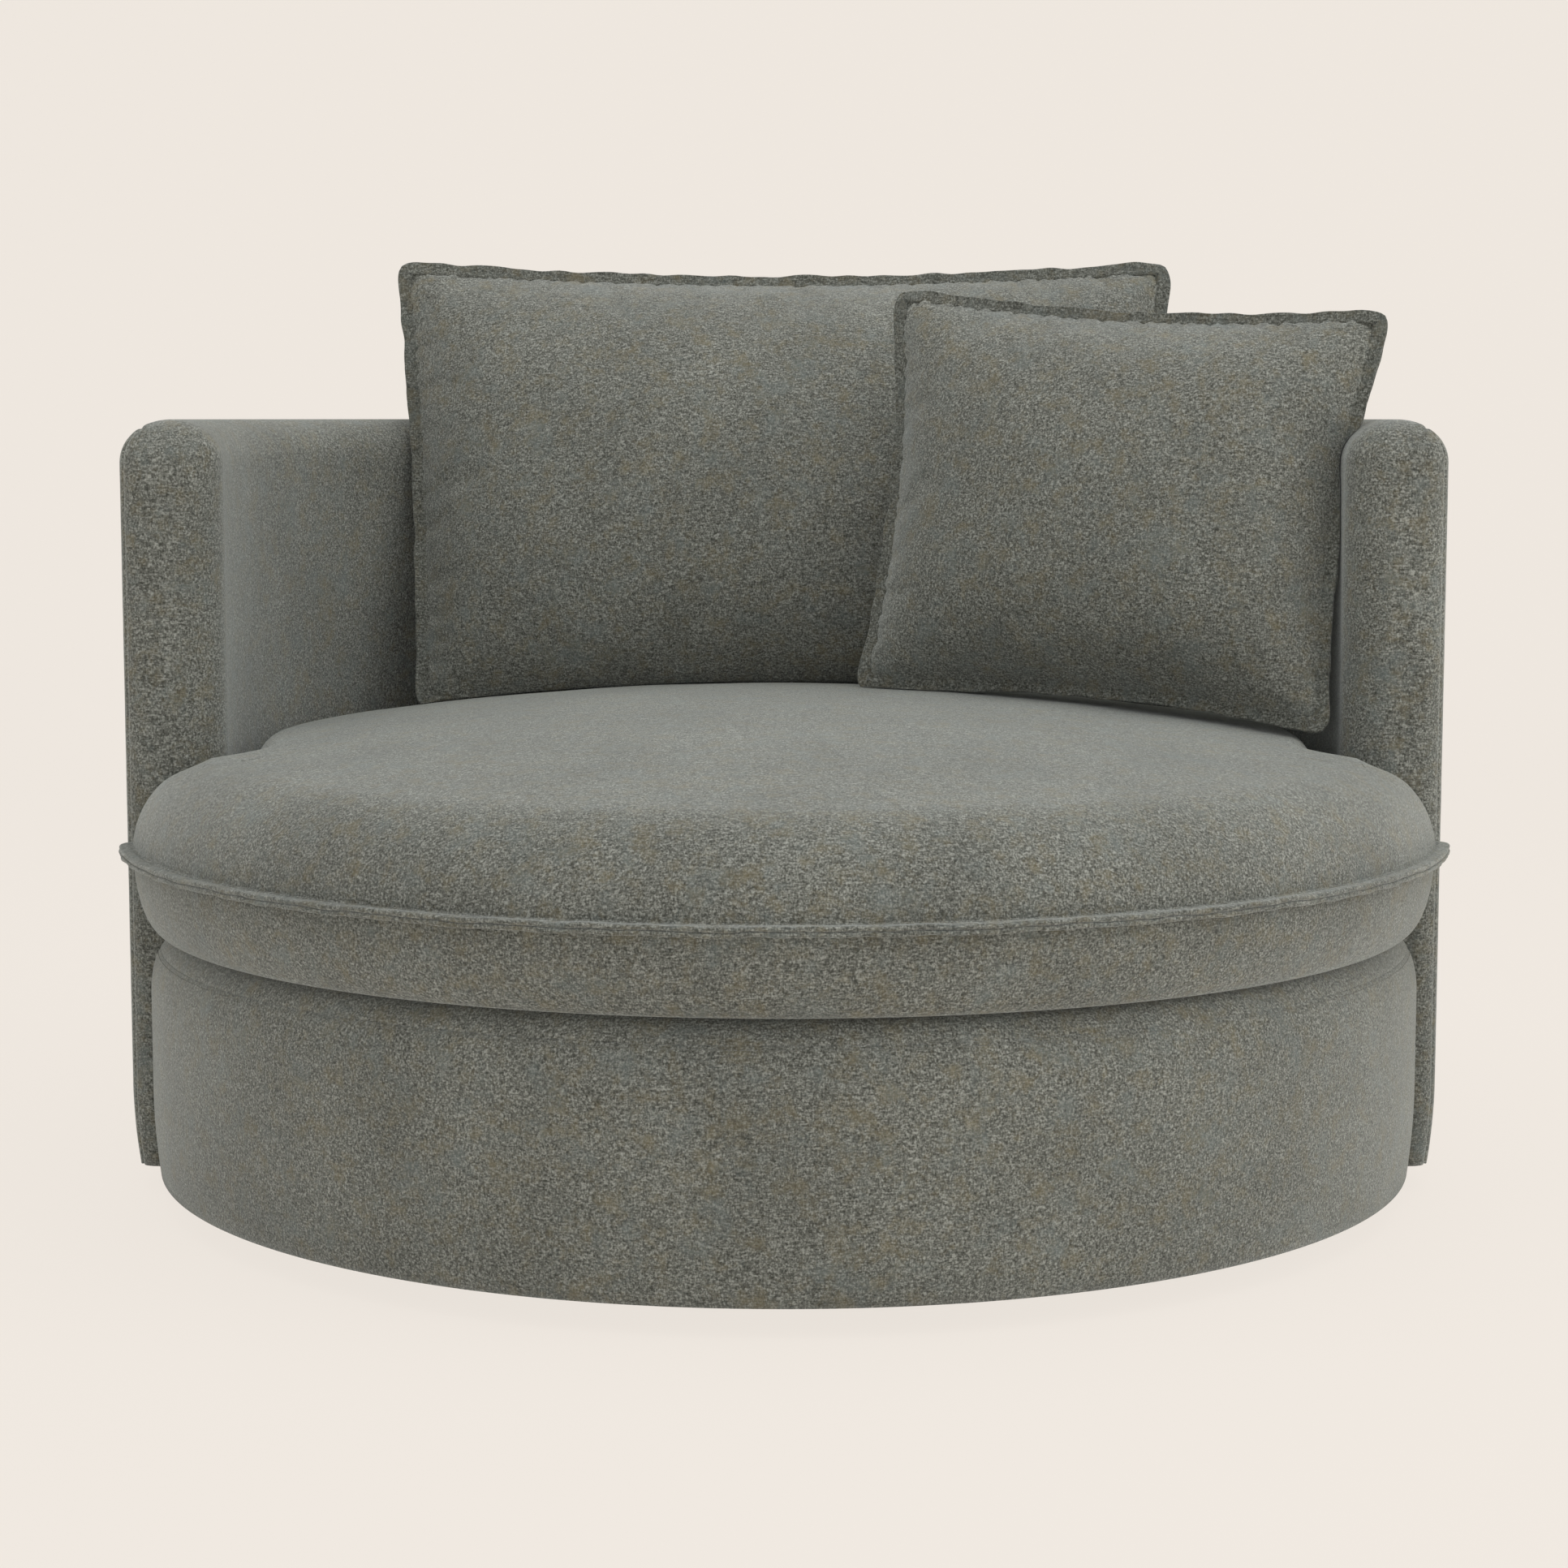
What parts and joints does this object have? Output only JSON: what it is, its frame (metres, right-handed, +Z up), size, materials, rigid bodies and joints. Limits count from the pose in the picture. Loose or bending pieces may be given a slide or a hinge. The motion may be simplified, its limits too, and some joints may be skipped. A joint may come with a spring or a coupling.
{
  "type": "round swivel chair",
  "caption": "Round barrel lounge chair on a hidden swivel base, with a crowned loose seat cushion, a leaning back cushion and a throw pillow, all in heathered woven fabric.",
  "frame": {"origin": "On the floor, on the swivel's axis, under the middle of the chair.", "axes": "+Z up, the sitter faces -Y, +X to the right of someone looking at the chair from its front."},
  "size_m": [1.24, 1.2471, 0.8956],
  "materials": {
    "upholstery": "heathered grey-green chenille weave",
    "dust_cloth": "thin black non-woven",
    "webbing": "elastic woven strap",
    "foam": "open-cell foam",
    "wadding": "soft fibre wadding",
    "plywood": "sawn birch plywood",
    "timber": "planed softwood",
    "bent_panel": "bent hardboard",
    "glide_plastic": "moulded black nylon",
    "plate_steel": "black powder coat",
    "bright_steel": "zinc plated"
  },
  "bodies": {
    "base": {"floor_glides": "glide_plastic", "base_board": "plywood", "swivel_pin": "bright_steel", "swivel_lower_plate": "plate_steel", "lower_plate_screws": "bright_steel", "bearing_balls": "bright_steel", "ball_cage": "glide_plastic", "pin_washer": "bright_steel", "pin_nut": "bright_steel"},
    "chair": {"swivel_upper_plate": "plate_steel", "upper_plate_screws": "bright_steel", "bottom_panel": "plywood", "drum_posts": "timber", "front_rail": "plywood", "deck_ring": "plywood", "deck_screws": "bright_steel", "webbing_across": "webbing", "webbing_lengthwise": "webbing", "drum_side_foam": "foam", "deck_pad": "foam", "drum_side_cover": "upholstery", "deck_cover": "upholstery", "dust_cover": "dust_cloth", "cover_staples": "bright_steel", "shell_bottom_rail": "plywood", "bottom_rail_screws": "bright_steel", "shell_posts": "timber", "shell_top_rail": "plywood", "top_rail_screws": "bright_steel", "arm_end_boards": "plywood", "shell_inner_panel": "bent_panel", "shell_outer_panel": "bent_panel", "shell_foam": "foam", "shell_outer_cover": "upholstery", "shell_inner_cover": "upholstery"},
    "seat_cushion": {"seat_cushion_core": "foam", "seat_cushion_top_wrap": "wadding", "seat_cushion_bottom_wrap": "wadding", "seat_cushion_top_cover": "upholstery", "seat_cushion_bottom_cover": "upholstery", "seat_cushion_flange": "upholstery"},
    "back_cushion": {"back_cushion_filling": "wadding", "back_cushion_front_cover": "upholstery", "back_cushion_rear_cover": "upholstery", "back_cushion_flange": "upholstery"},
    "throw_pillow": {"throw_pillow_filling": "wadding", "throw_pillow_front_cover": "upholstery", "throw_pillow_rear_cover": "upholstery", "throw_pillow_flange": "upholstery"}
  },
  "joints": [
    {"name": "swivel", "type": "hinge", "parent": "base", "child": "chair", "pos_m": [0, 0, 0], "axis": [0, 0, 1], "continuous": true},
    {"name": "seat_lift", "type": "slide", "parent": "chair", "child": "seat_cushion", "axis": [0, 0, 1], "range_m": [0, 0.3]},
    {"name": "back_lift", "type": "slide", "parent": "seat_cushion", "child": "back_cushion", "axis": [0, 0, 1], "range_m": [0, 0.35]},
    {"name": "pillow_lift", "type": "slide", "parent": "back_cushion", "child": "throw_pillow", "axis": [-0.15, -0.4, 0.9042], "range_m": [0, 0.35]}
  ]
}
